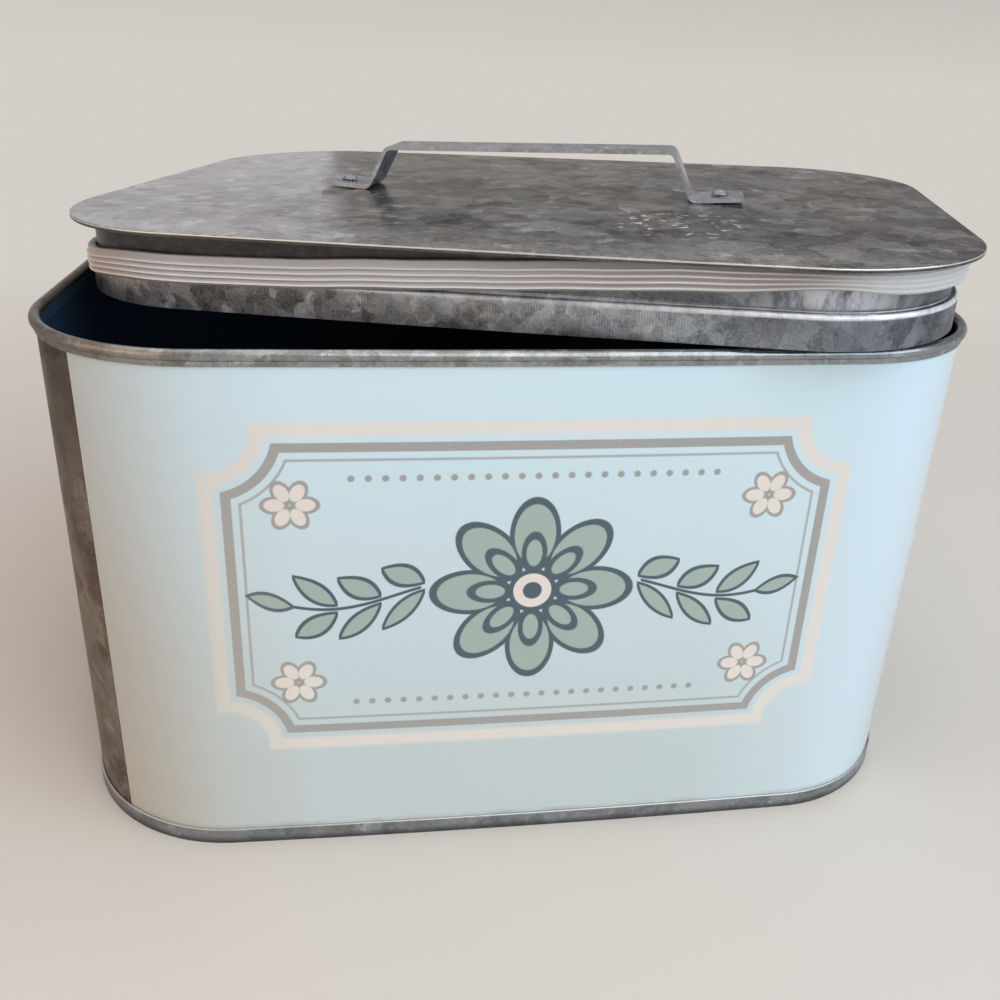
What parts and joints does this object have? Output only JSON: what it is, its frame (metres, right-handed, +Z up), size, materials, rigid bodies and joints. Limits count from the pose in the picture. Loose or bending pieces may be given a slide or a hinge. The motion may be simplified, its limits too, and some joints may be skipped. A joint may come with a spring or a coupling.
{
  "type": "bread box",
  "caption": "Lidded sheet-steel bread box with rounded corners, a rolled rim, a glossy enamelled front and a lift-off lid with a strap handle and a ribbed seal.",
  "frame": {"origin": "middle of the flat underside, on the surface that the box stands on", "axes": "+X along the box's length, -Y towards the enamelled front, +Z up"},
  "size_m": [0.3565, 0.2897, 0.2398],
  "materials": {
    "galvanised": "mottled spangle, semi-gloss",
    "enamel": "glossy pale blue-green",
    "rim_steel": "rolled, bright along its crest",
    "handle_steel": "galvanised, semi-gloss",
    "seal_rubber": "soft white silicone, satin"
  },
  "bodies": {
    "box": {"base_pan": "galvanised", "front_sheet": "enamel", "back_sheet": "galvanised", "rim_band": "rim_steel", "rim_wire": "rim_steel"},
    "lid": {"lid_plate": "galvanised", "lid_skirt": "galvanised", "lid_seal": "seal_rubber", "handle_strap": "handle_steel", "handle_rivets": "handle_steel"}
  },
  "joints": [
    {"name": "lid_lift", "type": "slide", "parent": "box", "child": "lid", "axis": [0, 0, 1], "range_m": [0, 0.15]}
  ]
}
